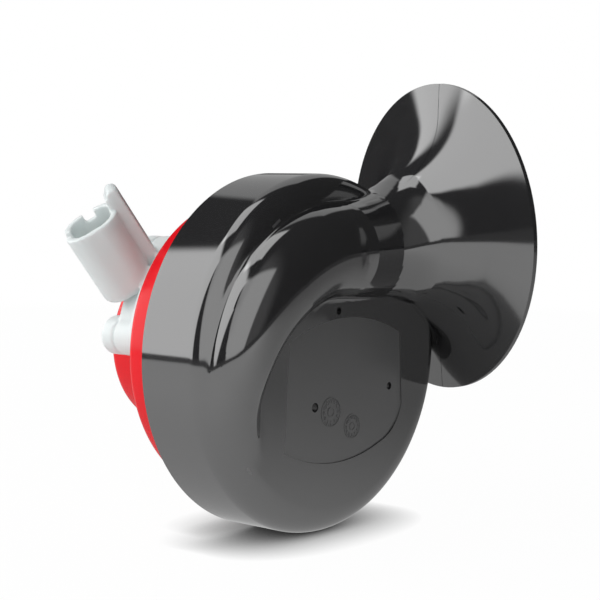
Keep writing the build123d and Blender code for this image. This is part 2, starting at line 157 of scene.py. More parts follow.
finishes = {
    "glossBlack": {"colour": (0.014, 0.014, 0.015), "roughness": 0.07, "ior": 2.5,
                   "grainScale": 25.0, "grainHeight": 0.0000002},
    "mattBlack": {"colour": (0.075, 0.075, 0.076), "roughness": 0.36, "ior": 2.4,
                  "grainScale": 2600.0, "grainHeight": 0.00002},
    "redPaint": {"colour": (0.86, 0.002, 0.01), "roughness": 0.2, "ior": 1.38,
                 "grainScale": 120.0, "grainHeight": 0.000006},
    "milkyNylon": {"colour": (0.77, 0.82, 0.82), "roughness": 0.34, "subsurface": 0.7,
                   "sheenDepth": 0.002, "shade": 0.96},
    "zincPlate": {"colour": (0.62, 0.62, 0.6), "roughness": 0.28, "metallic": 1.0,
                  "grainScale": 900.0},
    "tinnedBrass": {"colour": (0.78, 0.74, 0.62), "roughness": 0.22, "metallic": 1.0},
    "darkSeal": {"colour": (0.02, 0.02, 0.02), "roughness": 0.45},
    "mouldedFloor": {"colour": (0.02, 0.02, 0.02), "roughness": 0.4},
    "copperWire": {"colour": (0.72, 0.33, 0.16), "roughness": 0.3, "metallic": 1.0},
    "rubberBlack": {"colour": (0.03, 0.03, 0.03), "roughness": 0.7},
    "laminate": {"colour": (0.3, 0.15, 0.06), "roughness": 0.5},
}
materials = {name: plainFinish(name, **facts) for name, facts in finishes.items()}
print("materials made")


def makeObject(name, points, faces):
    mesh = bpy.data.meshes.new(name)
    mesh.from_pydata([tuple(p * millimetre for p in point) for point in points], [], faces)
    mesh.update()
    made = bpy.data.objects.new(name, mesh)
    bpy.context.scene.collection.objects.link(made)
    return made


def ringSolid(name, rings):
    # A closed solid through rings of points; a ring of one point is a pole.
    points = []
    starts = []
    for ring in rings:
        starts.append(len(points))
        points.extend(tuple(p) for p in ring)
    faces = []
    for i in range(len(rings) - 1):
        first, second = len(rings[i]), len(rings[i + 1])
        around = max(first, second)
        for j in range(around):
            k = (j + 1) % around
            a, b = starts[i] + j % first, starts[i] + k % first
            c, d = starts[i + 1] + k % second, starts[i + 1] + j % second
            if first == 1:
                faces.append((a, c, d))
            elif second == 1:
                faces.append((a, b, c))
            else:
                faces.append((a, b, c, d))
    solid = makeObject(name, points, faces)
    work = bmesh.new()
    work.from_mesh(solid.data)
    bmesh.ops.recalc_face_normals(work, faces=work.faces)
    work.to_mesh(solid.data)
    work.free()
    return solid


def latheRings(profile, segments):
    # Rings about the horn's axis from radius and y pairs; radius 0 gives a pole.
    rings = []
    for radius, y in profile:
        if radius == 0:
            rings.append([(0, y, 0)])
            continue
        turns = [2 * math.pi * j / segments for j in range(segments)]
        rings.append([(radius * math.cos(t), y, radius * math.sin(t)) for t in turns])
    return rings


def arc(centreRadius, centreY, radius, start, end, steps):
    # Radius and y pairs of a round corner; 0 degrees points outwards, 90 to the back.
    turns = [math.radians(start + (end - start) * i / steps) for i in range(steps + 1)]
    return [(centreRadius + radius * math.cos(t), centreY + radius * math.sin(t)) for t in turns]


def straight(start, end, steps):
    return [
        (start[0] + (end[0] - start[0]) * i / steps, start[1] + (end[1] - start[1]) * i / steps)
        for i in range(1, steps)
    ]


def combine(solid, tool, operation):
    change = solid.modifiers.new("combine", "BOOLEAN")
    change.operation = operation
    change.solver = "MANIFOLD"
    change.object = tool
    settle(solid)
    bpy.data.objects.remove(tool)
    return solid


def settle(solid):
    # Turns a piece's modifiers into plain mesh.
    graph = bpy.context.evaluated_depsgraph_get()
    mesh = bpy.data.meshes.new_from_object(solid.evaluated_get(graph))
    solid.modifiers.clear()
    old = solid.data
    solid.data = mesh
    bpy.data.meshes.remove(old)
    return solid


def smoothByAngle(solid, degrees):
    solid.data.polygons.foreach_set("use_smooth", [True] * len(solid.data.polygons))
    solid.data.set_sharp_from_angle(angle=math.radians(degrees))


def dress(solid, material, replaced=()):
    solid.data.materials.clear()
    solid.data.materials.append(material)
    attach(solid, "horn")
    if replaced:
        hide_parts(*replaced)


housing = {
    "drumRadius": 44.0, "faceY": -60.8, "frontFillet": 6.9, "skirtWall": 1.8, "shellWall": 2.6,
    "faceWall": 2.0, "innerFillet": 4.0, "floorFrontY": -45.8, "partingY": -61.7,
    "mouthCentre": (41.7, -59.7, 27.45), "mouthTurn": 18.5, "mouthRise": 2.0,
    "rimRadius": 39.7, "flangeRadius": 32.5, "throatRadius": 13.7, "flareLength": 24.4,
    "rimLean": 0.6, "rimWall": 1.1, "rimEdge": 0.5, "wall": 2.0, "bellWall": 1.6, "clearance": 4.0,
    "seam": 0.12, "seamFade": 4.0,
    # angle about the axis, distance inside the drum's wall, depth, outer radius
    "stations": [
        (232.0, 7.2, 12.6, 5.4), (215.0, 8.1, 14.6, 7.3), (198.0, 8.7, 17.0, 7.6),
        (181.0, 9.9, 20.0, 8.0), (163.0, 11.9, 21.5, 9.1), (145.0, 14.2, 21.8, 10.3),
        (125.0, 16.6, 21.8, 10.9), (105.0, 18.1, 21.6, 11.3), (86.5, 18.5, 21.3, 11.6),
        (67.3, 16.2, 20.2, 12.5), (52.7, 10.9, 19.4, 13.6),
    ],
    # lean of the surface towards the mouth, by distance behind it and by radius
    "tubeLean": [(10.5, 44), (14, 31), (18, 22), (26, 12), (32, 5), (37, 0)],
    "flareLean": [(16, 43), (18.6, 52), (22.2, 57), (25, 59.5), (31.3, 62), (39.7, 65)],
    "leanFade": 3.0, "joint": 10.5, "squaring": 12.0, "easing": (14, 30),
    "pathSteps": 170, "flareSteps": 22, "rimSteps": (0.25, 0.5, 0.75, 1.0), "around": 112,
    "faceSteps": 30, "filletSteps": 18, "wallSteps": 14, "innerSteps": 8, "drumAround": 240,
}
turn, rise = math.radians(housing["mouthTurn"]), math.radians(housing["mouthRise"])
mouthNormal = np.array([
    math.cos(rise) * math.cos(turn), -math.cos(rise) * math.sin(turn), math.sin(rise)])
mouthCentre = np.array(housing["mouthCentre"])


def flareRadius(behind):
    # The flare's outer radius at a distance behind the mouth: a quarter of an ellipse.
    share = (housing["flareLength"] - behind) / housing["flareLength"]
    width = housing["flangeRadius"] - housing["throatRadius"]
    return housing["flangeRadius"] - width * math.sqrt(1 - share**2)


def cubicThrough(places, values, wanted):
    # A natural cubic spline through values at places, read at the wanted places.
    count = len(places)
    gaps = np.diff(places)
    slopes = np.diff(values, axis=0) / gaps[:, None]
    system = np.eye(count)
    right = np.zeros((count, values.shape[1]))
    for i in range(1, count - 1):
        system[i, i - 1:i + 2] = gaps[i - 1], 2 * (gaps[i - 1] + gaps[i]), gaps[i]
        right[i] = 6 * (slopes[i] - slopes[i - 1])
    bend = np.linalg.solve(system, right)
    i = np.clip(np.searchsorted(places, wanted) - 1, 0, count - 2)
    h = gaps[i][:, None]
    a = ((places[i + 1] - wanted) / gaps[i])[:, None]
    b = 1 - a
    curve = ((a**3 - a) * bend[i] + (b**3 - b) * bend[i + 1]) * h**2 / 6
    return a * values[i] + b * values[i + 1] + curve


def trumpetPath():
    # Centres and radii of the tube, from its start inside the drum to the bell's joint.
    known = []
    for angle, inset, depth, radius in housing["stations"]:
        spot, distance = math.radians(angle), housing["drumRadius"] - inset
        known.append((distance * math.cos(spot), backY - depth, distance * math.sin(spot), radius))
    joint = housing["joint"]
    known.append((*(mouthCentre - mouthNormal * joint), flareRadius(joint)))
    known = np.array(known)
    steps = np.linalg.norm(np.diff(known[:, :3], axis=0), axis=1)
    places = np.concatenate([[0], np.cumsum(steps)])
    wanted = np.linspace(0, places[-1], housing["pathSteps"])
    found = cubicThrough(places, known, wanted)
    return found[:, :3], found[:, 3]


pathCentres, pathRadii = trumpetPath()


def circle(centre, ahead, radius, count):
    rail = np.array([0.0, -1.0, 0.0])
    across = rail - ahead * rail.dot(ahead)
    across /= np.linalg.norm(across)
    side = np.cross(ahead, across)
    turns = np.arange(count) * 2 * math.pi / count
    return centre + radius * (np.cos(turns)[:, None] * across + np.sin(turns)[:, None] * side)


def tubeRings(wall):
    # Rings along the path, turned square to the mouth's axis over its last part.
    rings = []
    last = len(pathCentres) - 1
    places = np.concatenate([[0], np.cumsum(np.linalg.norm(np.diff(pathCentres, axis=0), axis=1))])
    for i, centre in enumerate(pathCentres):
        ahead = pathCentres[min(i + 1, last)] - pathCentres[max(i - 1, 0)]
        share = np.clip((places[i] - places[last]) / housing["squaring"] + 1, 0, 1)
        ahead = ahead / np.linalg.norm(ahead) * (1 - share) + mouthNormal * share
        ahead /= np.linalg.norm(ahead)
        rings.append(circle(centre, ahead, pathRadii[i] - wall, housing["around"]))
    return rings


def flareRings(wall, mouthWall):
    # Rings of the flare from the joint to the flange, by equal turns of the ellipse.
    length = housing["flareLength"]
    width = housing["flangeRadius"] - housing["throatRadius"] + wall
    steps = housing["flareSteps"]
    start = math.asin((length - housing["joint"]) / (length + mouthWall))
    rings = []
    for i in range(1, steps + 1):
        t = start + (math.pi / 2 - start) * i / steps
        level = -length + (length + mouthWall) * math.sin(t)
        radius = housing["flangeRadius"] - width * math.cos(t)
        rings.append(mouthRing(radius, level))
    return rings


def mouthRing(radius, level):
    return circle(mouthCentre + mouthNormal * level, mouthNormal, radius, housing["around"])


def eased(rings, joint):
    # Rounds the corner between tube and flare by averaging neighbouring rings.
    reach, rounds = housing["easing"]
    rings = np.array(rings)
    weight = np.clip(1 - np.abs(np.arange(len(rings)) - joint) / reach, 0, 1)[1:-1, None, None]
    for _ in range(rounds):
        rings[1:-1] += (rings[:-2] - 2 * rings[1:-1] + rings[2:]) / 4 * weight
    return rings


def trumpetSolid():
    rimFront = housing["rimLean"] + housing["rimWall"]
    rings = eased(tubeRings(0) + flareRings(0, 0), len(pathCentres) - 1)
    rings = [[tuple(pathCentres[0])]] + list(rings)
    for i in housing["rimSteps"]:
        radius = housing["flangeRadius"] + (housing["rimRadius"] - housing["flangeRadius"]) * i
        rings.append(mouthRing(radius, housing["rimLean"] * i))
    rings.append(mouthRing(housing["rimRadius"], rimFront))
    rings.append([tuple(mouthCentre + mouthNormal * rimFront)])
    return ringSolid("trumpetSolid", rings)


def airSolid():
    rimFront = housing["rimLean"] + housing["rimWall"]
    rim = housing["rimRadius"] - housing["rimEdge"]
    rings = [[tuple(pathCentres[0])]] + tubeRings(housing["wall"])
    rings += flareRings(housing["wall"], housing["bellWall"])
    for i in housing["rimSteps"]:
        radius = housing["flangeRadius"] + (rim - housing["flangeRadius"]) * i
        level = housing["bellWall"] + (rimFront - housing["bellWall"]) * i
        rings.append(mouthRing(radius, level))
    top = rimFront + housing["clearance"]
    rings.append(mouthRing(rim, top))
    rings.append([tuple(mouthCentre + mouthNormal * top)])
    return ringSolid("airSolid", rings)


def drumSolid():
    radius, face, fillet = housing["drumRadius"], housing["faceY"], housing["frontFillet"]
    bore, inner = radius - housing["skirtWall"], radius - housing["shellWall"]
    cavity, soft = face + housing["faceWall"], housing["innerFillet"]
    profile = [(0, face)] + straight((0, face), (radius - fillet, face), housing["faceSteps"])
    profile += arc(radius - fillet, face + fillet, fillet, 270, 360, housing["filletSteps"])
    profile += straight((radius, face + fillet), (radius, backY), housing["wallSteps"])
    profile += [(radius, backY), (bore, backY), (bore, housing["floorFrontY"])]
    profile += [(inner, housing["floorFrontY"])]
    profile += arc(inner - soft, cavity + soft, soft, 0, -90, housing["innerSteps"]) + [(0, cavity)]
    return ringSolid("hornShell", latheRings(profile, housing["drumAround"]))


panel = {
    "corners": [(-19.3, -21.5), (17.4, -23.4), (26.4, -14.5), (25.5, 3.8), (-17.3, 4.6)],
    # the middle of the arc after each corner; None where the side is straight
    "middles": [(0.5, -26.3), (23.4, -19.9), None, (5.5, 9.0), None],
    "depth": 0.3, "steps": 28,
    "pinholes": [(0.8, 10.8, 0.9), (-7.7, -11.9, 1.15), (21.4, -9.7, 0.95)], "pinholeDepth": 1.4,
    "pinholeSides": 40, "overcut": 1.0,
    # which faces are the panel's floor: near its level, facing forwards, not far out
    "levelSlack": 0.02, "leastFacing": 0.9, "reach": 40.0,
}


def arcThrough(first, middle, last, steps):
    # Points of the circle through three points, the last one left out.
    (ax, az), (bx, bz), (cx, cz) = first, middle, last
    a, b, c = ax**2 + az**2, bx**2 + bz**2, cx**2 + cz**2
    twice = 2 * (ax * (bz - cz) + bx * (cz - az) + cx * (az - bz))
    x = (a * (bz - cz) + b * (cz - az) + c * (az - bz)) / twice
    z = (a * (cx - bx) + b * (ax - cx) + c * (bx - ax)) / twice
    start = math.atan2(az - z, ax - x)
    sweep = (math.atan2(cz - z, cx - x) - start + math.pi) % (2 * math.pi) - math.pi
    turns = [start + sweep * i / steps for i in range(steps)]
    reach = math.hypot(ax - x, az - z)
    return [(x + reach * math.cos(t), z + reach * math.sin(t)) for t in turns]


def panelOutline():
    outline = []
    for i, (corner, middle) in enumerate(zip(panel["corners"], panel["middles"])):
        following = panel["corners"][(i + 1) % len(panel["corners"])]
        if middle:
            outline += arcThrough(corner, middle, following, panel["steps"])
        else:
            outline += [corner] + straight(corner, following, panel["steps"] // 2)
    return outline


def faceCut(name, outline, depth):
    # The solid to take out of the drum's face, from an outline of x and z pairs.
    front, rear = housing["faceY"] - panel["overcut"], housing["faceY"] + depth
    x, z = (sum(values) / len(outline) for values in zip(*outline))
    walls = [[(p[0], y, p[1]) for p in outline] for y in (front, rear)]
    return ringSolid(name, [[(x, front, z)], *walls, [(x, rear, z)]])


def pinhole(x, z, radius):
    sides = panel["pinholeSides"]
    turns = [2 * math.pi * i / sides for i in range(sides)]
    outline = [(x + radius * math.cos(t), z + radius * math.sin(t)) for t in turns]
    return faceCut("pinhole", outline, panel["pinholeDepth"])


recess = faceCut("recess", panelOutline(), panel["depth"])
shell = combine(drumSolid(), recess, "DIFFERENCE")
shell = combine(shell, trumpetSolid(), "UNION")
shell = combine(shell, airSolid(), "DIFFERENCE")
for spot in panel["pinholes"]:
    shell = combine(shell, pinhole(*spot), "DIFFERENCE")
print("shell combined:", len(shell.data.polygons), "faces")


def drumDistance(p):
    # How far points lie outside the drum's round wall and face.
    fillet = housing["frontFillet"]
    out = np.hypot(p[:, 0], p[:, 2]) - (housing["drumRadius"] - fillet)
    front = housing["faceY"] + fillet - p[:, 1]
    inside = np.minimum(np.maximum(out, front), 0)
    return inside + np.hypot(np.maximum(out, 0), np.maximum(front, 0)) - fillet


def tubeDistance(p, batch=4000):
    # How far points lie outside the trumpet's tube.
    found = np.empty(len(p))
    for start in range(0, len(p), batch):
        part = p[start:start + batch]
        gap = np.linalg.norm(part[:, None] - pathCentres[None], axis=2) - pathRadii[None]
        nearest = gap.argmin(axis=1)
        best = gap.min(axis=1)
        for first in (np.maximum(nearest - 1, 0), np.minimum(nearest, len(pathCentres) - 2)):
            foot, step = pathCentres[first], pathCentres[first + 1] - pathCentres[first]
            share = np.clip(((part - foot) * step).sum(1) / (step**2).sum(1), 0, 1)
            radius = pathRadii[first] + share * (pathRadii[first + 1] - pathRadii[first])
            away = np.linalg.norm(part - foot - share[:, None] * step, axis=1)
            best = np.minimum(best, away - radius)
        found[start:start + batch] = best
    return found


blend = {
    "outerRadius": 1.2, "innerRadius": 1.6, "sideWidth": 3.0, "pathRadius": 27.0,
    "neckFade": (6.0, 16.0), "leastWidth": 0.01,
    # which points are moved, how often, and the least slope that a move is divided by
    "skin": 0.12, "backMargin": 2.0, "rounds": 4, "leastSlope": 0.2,
}


def blendWidth(p):
    # How wide the rounded meeting is: wide along the outer ridge, narrow in the groove.
    reach = np.hypot(p[:, 0], p[:, 2])
    side = np.clip((reach - blend["pathRadius"]) / blend["sideWidth"], 0, 1)
    width = blend["innerRadius"] + (blend["outerRadius"] - blend["innerRadius"]) * side
    behind = (mouthCentre - p) @ mouthNormal
    near, far = blend["neckFade"]
    fade = np.clip((behind - near) / (far - near), 0, 1)
    return np.maximum(width * fade, blend["leastWidth"])


def formDistance(p):
    # How far points lie outside drum and tube together, with their meeting rounded.
    drum, tube, width = drumDistance(p), tubeDistance(p), blendWidth(p)
    share = np.maximum(width - np.abs(drum - tube), 0) / width
    return np.minimum(drum, tube) - share**3 * width / 6


def formSlope(p, step=0.02):
    # The direction in which that distance grows.
    slope = np.empty_like(p)
    for i in range(3):
        move = np.zeros(3)
        move[i] = step
        slope[:, i] = (formDistance(p + move) - formDistance(p - move)) / (2 * step)
    return slope


def meshPoints(mesh):
    flat = np.empty(len(mesh.vertices) * 3)
    mesh.vertices.foreach_get("co", flat)
    return flat.reshape(-1, 3) / millimetre


def roundMeeting(solid):
    # Moves the outer points near the crease onto the blended form.
    points = meshPoints(solid.data)
    behind = (mouthCentre - points) @ mouthNormal
    a, b = drumDistance(points), tubeDistance(points)
    outer = (np.abs(np.minimum(a, b)) < blend["skin"]) & (behind > blend["neckFade"][0])
    outer &= points[:, 1] < backY - blend["backMargin"]
    outer &= np.abs(a - b) < blend["outerRadius"] + blend["innerRadius"]
    moved = np.where(outer)[0]
    for _ in range(blend["rounds"]):
        here = points[moved]
        slope = formSlope(here)
        size = np.maximum((slope**2).sum(1, keepdims=True), blend["leastSlope"])
        points[moved] = here - formDistance(here)[:, None] * slope / size
    solid.data.vertices.foreach_set("co", (points * millimetre).ravel())
    solid.data.update()


roundMeeting(shell)
print("meeting rounded")


def halfOf(solid, name, keepFront):
    half = solid.copy()
    half.data = solid.data.copy()
    half.name = name
    bpy.context.scene.collection.objects.link(half)
    work = bmesh.new()
    work.from_mesh(half.data)
    everything = list(work.verts) + list(work.edges) + list(work.faces)
    cut = bmesh.ops.bisect_plane(
        work, geom=everything, dist=1e-7, plane_co=(0, housing["partingY"] * millimetre, 0),
        plane_no=(0, 1, 0), clear_outer=keepFront, clear_inner=not keepFront,
    )["geom_cut"]
    edges = [e for e in cut if isinstance(e, bmesh.types.BMEdge) and e.is_boundary]
    bmesh.ops.triangle_fill(work, use_beauty=False, edges=edges)
    # A hairline seam that opens along the bell only.
    for vertex in (v for v in cut if isinstance(v, bmesh.types.BMVert)):
        behind = (mouthCentre - np.array(vertex.co) / millimetre) @ mouthNormal
        share = np.clip((housing["joint"] - behind) / housing["seamFade"] + 1, 0, 1)
        vertex.co.y += (-0.5 if keepFront else 0.5) * share * housing["seam"] * millimetre
    work.to_mesh(half.data)
    work.free()
    return half


def flareTilt(behind, radius):
    # How far the surface leans back from the tube's side, in degrees: a soft sweep to the rim.
    alongTube = np.interp(behind, *zip(*housing["tubeLean"]))
    alongFlare = np.interp(radius, *zip(*housing["flareLean"]))
    return np.radians(np.where(behind > housing["joint"], alongTube, alongFlare))


shading = {
    # how far from the form, in mm, a point may lie and still take its normal from it
    "form": 0.03, "tube": 1.4, "flare": 1.2, "flange": 0.05, "drumClear": 0.3, "jointSlack": 0.3,
    "neckReach": 12.0, "flareReach": 4.0, "samples": 60, "leastFacing": 0.3, "sharpAngle": 30,
}


def onFlange(behind, radius):
    # Which points lie on the flat ring round the mouth.
    slack, lean = shading["flange"], housing["rimLean"]
    inner, outer = housing["flangeRadius"], housing["rimRadius"]
    level = behind + lean * (radius - inner) / (outer - inner)
    found = (behind < slack) & (behind > -lean - slack) & (radius > inner - 2 * slack)
    return found & (np.abs(level) < slack)


def leant(normals, behind, radius, share):
    # Normals turned by a share, from 0 to 1, to the lean of the neck and flare.
    tilt = flareTilt(behind, radius)[:, None]
    flat = normals - (normals @ mouthNormal)[:, None] * mouthNormal
    flat /= np.linalg.norm(flat, axis=1, keepdims=True)
    mixed = normals * (1 - share) + (flat * np.cos(tilt) - mouthNormal * np.sin(tilt)) * share
    return mixed / np.linalg.norm(mixed, axis=1, keepdims=True)


def trueNormals(solid):
    # Sets the outer faces' normals from the form itself, so that gloss runs smoothly over it.
    smoothByAngle(solid, shading["sharpAngle"])
    mesh = solid.data
    points = meshPoints(mesh)
    behind = (mouthCentre - points) @ mouthNormal
    radial = points - mouthCentre + behind[:, None] * mouthNormal
    radius = np.linalg.norm(radial, axis=1)
    pastJoint = behind > housing["joint"] + shading["jointSlack"]
    onTube = np.abs(tubeDistance(points)) < shading["tube"]
    outer = (np.abs(formDistance(points)) < shading["form"]) & pastJoint
    neck = pastJoint & (behind < housing["squaring"] + shading["neckReach"]) & onTube
    outer |= neck & (drumDistance(points) > shading["drumClear"])
    normals = np.zeros((len(points), 3))
    slope = formSlope(points[outer])
    normals[outer] = slope / np.linalg.norm(slope, axis=1, keepdims=True)
    levels = np.linspace(0, housing["joint"] + shading["flareReach"], shading["samples"])
    known = [flareRadius(level) for level in levels]
    flare = ~pastJoint & (np.abs(radius - np.interp(behind, levels, known)) < shading["flare"])
    flare |= onFlange(behind, radius)
    normals[flare] = radial[flare] / radius[flare, None]
    leaning = flare | (outer & onTube & (behind < housing["tubeLean"][-1][0]))
    share = np.clip(drumDistance(points[leaning]) / housing["leanFade"], 0, 1)
    share = np.where(flare[leaning], 1, share**2 * (3 - 2 * share))[:, None]
    normals[leaning] = leant(normals[leaning], behind[leaning], radius[leaning], share)
    shaped = outer | flare
    given = []
    for polygon in mesh.polygons:
        ids = list(polygon.vertices)
        whole = all(shaped[i] for i in ids)
        facing = np.array(polygon.normal)
        for i in ids:
            use = whole and normals[i].dot(facing) > shading["leastFacing"]
            given.append(tuple(normals[i]) if use else (0.0, 0.0, 0.0))
    mesh.normals_split_custom_set(given)


drumShell = halfOf(shell, "drumShell", False)
trumpetCover = halfOf(shell, "trumpetCover", True)
bpy.data.objects.remove(shell)
for piece, replacedNode in ((drumShell, "drum_shell"), (trumpetCover, "trumpet_cover")):
    trueNormals(piece)
    dress(piece, materials["glossBlack"], replaced=(replacedNode,))
drumShell.data.materials.append(materials["mattBlack"])
panelLevel = housing["faceY"] + panel["depth"]
for polygon in drumShell.data.polygons:
    middle = polygon.center / millimetre
    level = abs(middle.y - panelLevel) < panel["levelSlack"]
    if level and polygon.normal.y < -panel["leastFacing"] and middle.xz.length < panel["reach"]:
        polygon.material_index = 1
print("shell parted")

dials = {
    "places": [(-1.7, -13.7, 3.7), (6.5, -18.2, 3.1)],
    "height": 0.16, "sunk": 0.02, "line": 0.22, "sides": 64, "ticks": 24, "tick": (0.45, 0.14),
    "hub": 0.34, "numbers": 12, "numberPlace": 0.7, "numberSize": 0.34, "weld": 0.002,
}


def groupInputs(tree, wanted):
    for label, kind in wanted:
        tree.interface.new_socket(label, in_out="INPUT", socket_type=kind)
    tree.interface.new_socket("Geometry", in_out="OUTPUT", socket_type="NodeSocketGeometry")
    entry = tree.nodes.new("NodeGroupInput")
    return [Wire(tree, entry.outputs[label]) for label, _ in wanted]


def tickTree():
    # Short bars set out around a circle, each pointing away from its middle.
    tree = bpy.data.node_groups.new("dialTicks", "GeometryNodeTree")
    count, radius, length, width, height, finish = groupInputs(tree, [
        ("Count", "NodeSocketInt"), ("Radius", "NodeSocketFloat"), ("Length", "NodeSocketFloat"),
        ("Width", "NodeSocketFloat"), ("Height", "NodeSocketFloat"),
        ("Finish", "NodeSocketMaterial"),
    ])
    ring = node(tree, "GeometryNodeMeshCircle", {}, Vertices=count, Radius=radius)
    bar = node(tree, "GeometryNodeMeshCube", {},
               Size=node(tree, "ShaderNodeCombineXYZ", {}, length, width, height))
    facing = node(tree, "FunctionNodeAlignRotationToVector", {"axis": "X"},
                  Vector=node(tree, "GeometryNodeInputPosition", {}))
    bars = node(tree, "GeometryNodeInstanceOnPoints", {},
                Points=ring, Instance=bar, Rotation=facing)
    real = node(tree, "GeometryNodeRealizeInstances", {}, bars)
    done = node(tree, "GeometryNodeSetMaterial", {}, Geometry=real, Material=finish)
    end = tree.nodes.new("NodeGroupOutput")
    tree.links.new(done.socket, end.inputs["Geometry"])
    return tree


ticksTree = tickTree()


def dialTicks(radius, finish):
    made = makeObject("ticks", [], [])
    repeat = made.modifiers.new("ticks", "NODES")
    repeat.node_group = ticksTree
    length, width = dials["tick"]
    given = {
        "Count": dials["ticks"], "Radius": (radius - length / 2) * millimetre,
        "Length": length * millimetre, "Width": width * millimetre,
        "Height": dials["height"] * millimetre, "Finish": finish,
    }
    for socket in ticksTree.interface.items_tree:
        if socket.in_out == "INPUT":
            repeat[socket.identifier] = given[socket.name]
    settle(made)
    return made


def dialRing(radius):
    half, line = dials["height"] / 2, dials["line"]
    turns = [2 * math.pi * j / dials["sides"] for j in range(dials["sides"])]
    corners = [(radius, -half), (radius, half), (radius - line, half), (radius - line, -half)]
    points = [(r * math.cos(t), r * math.sin(t), h) for t in turns for r, h in corners]
    faces = []
    for j in range(len(turns)):
        first, second = 4 * j, 4 * ((j + 1) % len(turns))
        sides = [(i, (i + 1) % 4) for i in range(4)]
        faces += [(first + i, first + k, second + k, second + i) for i, k in sides]
    return makeObject("ring", points, faces)


def dialNumber(number, radius):
    letters = bpy.data.curves.new("number", "FONT")
    letters.body = str(number)
    letters.size = dials["numberSize"] * radius * millimetre
    letters.extrude = dials["height"] / 2 * millimetre
    letters.align_x, letters.align_y = "CENTER", "CENTER"
    made = bpy.data.objects.new("number", letters)
    bpy.context.scene.collection.objects.link(made)
    graph = bpy.context.evaluated_depsgraph_get()
    mesh = bpy.data.meshes.new_from_object(made.evaluated_get(graph))
    bpy.data.objects.remove(made)
    turned = math.pi / 2 - 2 * math.pi * number / dials["numbers"]
    reach = dials["numberPlace"] * radius * millimetre
    mesh.transform(Matrix.Translation((reach * math.cos(turned), reach * math.sin(turned), 0)))
    plain = bpy.data.objects.new("number", mesh)
    bpy.context.scene.collection.objects.link(plain)
    return plain


def gathered(name, parts):
    work = bmesh.new()
    for part in parts:
        work.from_mesh(part.data)
        bpy.data.objects.remove(part)
    bmesh.ops.remove_doubles(work, verts=work.verts, dist=dials["weld"] * millimetre)
    bmesh.ops.recalc_face_normals(work, faces=work.faces)
    whole = makeObject(name, [], [])
    work.to_mesh(whole.data)
    work.free()
    return whole


def dial(x, z, radius):
    parts = [dialTicks(radius - dials["line"], materials["mattBlack"])]
    parts += [dialRing(radius), dialRing(dials["hub"] * radius)]
    parts += [dialNumber(i + 1, radius) for i in range(dials["numbers"])]
    level = panelLevel - dials["height"] / 2 + dials["sunk"]
    upright = Matrix(((1, 0, 0, 0), (0, 0, -1, 0), (0, 1, 0, 0), (0, 0, 0, 1)))
    toPanel = Matrix.Translation((x * millimetre, level * millimetre, z * millimetre)) @ upright
    for part in parts:
        part.data.transform(toPanel)
    return parts


dialMarks = gathered("dialMarks", [part for spot in dials["places"] for part in dial(*spot)])
dress(dialMarks, materials["mattBlack"])
print("dials raised:", len(dialMarks.data.polygons), "faces")


can = {
    "radius": 37.5, "shoulderY": -26.8, "cupRadius": 22.25, "cupEndY": -4.0, "sheet": 1.2,
    "edgeFillet": 1.8, "cupFillet": 2.2, "rootFillet": 1.0, "flangeRadius": 41.9,
    "flangeFrontY": -41.6, "flangeBackY": -40.4, "around": 200, "sharpAngle": 35,
    "endSteps": 6, "sideSteps": 6, "shoulderSteps": 5, "wallSteps": 4, "edgeSteps": 8,
    "rootSteps": 6,
}


def canSolid():
    r, e, root = can["radius"], can["edgeFillet"], can["rootFillet"]
    cup, c = can["cupRadius"], can["cupFillet"]
    inner, shoulder, end, sheet = r - can["sheet"], can["shoulderY"], can["cupEndY"], can["sheet"]
    profile = [(0, end)] + straight((0, end), (cup - c, end), can["endSteps"])
    profile += arc(cup - c, end - c, c, 90, 0, can["edgeSteps"])
    profile += straight((cup, end - c), (cup, shoulder + root), can["sideSteps"])
    profile += arc(cup + root, shoulder + root, root, 180, 270, can["rootSteps"])
    profile += straight((cup + root, shoulder), (r - e, shoulder), can["shoulderSteps"])
    profile += arc(r - e, shoulder - e, e, 90, 0, can["edgeSteps"])
    profile += straight((r, shoulder - e), (r, can["flangeBackY"]), can["wallSteps"])
    profile += [(r, can["flangeBackY"]), (can["flangeRadius"], can["flangeBackY"])]
    profile += [(can["flangeRadius"], can["flangeFrontY"]), (inner, can["flangeFrontY"])]
    profile += [(inner, shoulder - sheet), (cup - sheet, shoulder - sheet)]
    profile += [(cup - sheet, end - sheet), (0, end - sheet)]
    return ringSolid("steelCan", latheRings(profile, can["around"]))


steelCan = canSolid()
smoothByAngle(steelCan, can["sharpAngle"])
dress(steelCan, materials["redPaint"], replaced=("steel_can",))
print("can turned")


plug = {"grid": 0.3, "rounds": 3, "weld": 0.001}


def mergedCopy(nodeName, name):
    # A welded copy of a CAD node, whose own mesh is loose triangles.
    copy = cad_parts[nodeName].copy()
    copy.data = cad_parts[nodeName].data.copy()
    copy.name = name
    copy.parent = None
    for key in list(copy.keys()):
        if key.startswith("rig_"):
            del copy[key]
    bpy.context.scene.collection.objects.link(copy)
    work = bmesh.new()
    work.from_mesh(copy.data)
    bmesh.ops.remove_doubles(work, verts=work.verts, dist=plug["weld"] * millimetre)
    work.to_mesh(copy.data)
    work.free()
    copy.data.normals_split_custom_set([(0.0, 0.0, 0.0)] * len(copy.data.loops))
    return copy


def softened(nodeName, name):
    # A copy with softly rounded edges, as a nylon moulding has.
    copy = mergedCopy(nodeName, name)
    grid = copy.modifiers.new("grid", "REMESH")
    grid.mode = "VOXEL"
    grid.voxel_size = plug["grid"] * millimetre
    settle(copy)
    relax = copy.modifiers.new("relax", "CORRECTIVE_SMOOTH")
    relax.iterations = plug["rounds"]
    relax.use_only_smooth = True
    settle(copy)
    copy.data.polygons.foreach_set("use_smooth", [True] * len(copy.data.polygons))
    return copy


plugHousing = softened("connector_housing", "plugHousing")
dress(plugHousing, materials["milkyNylon"], replaced=("connector_housing",))

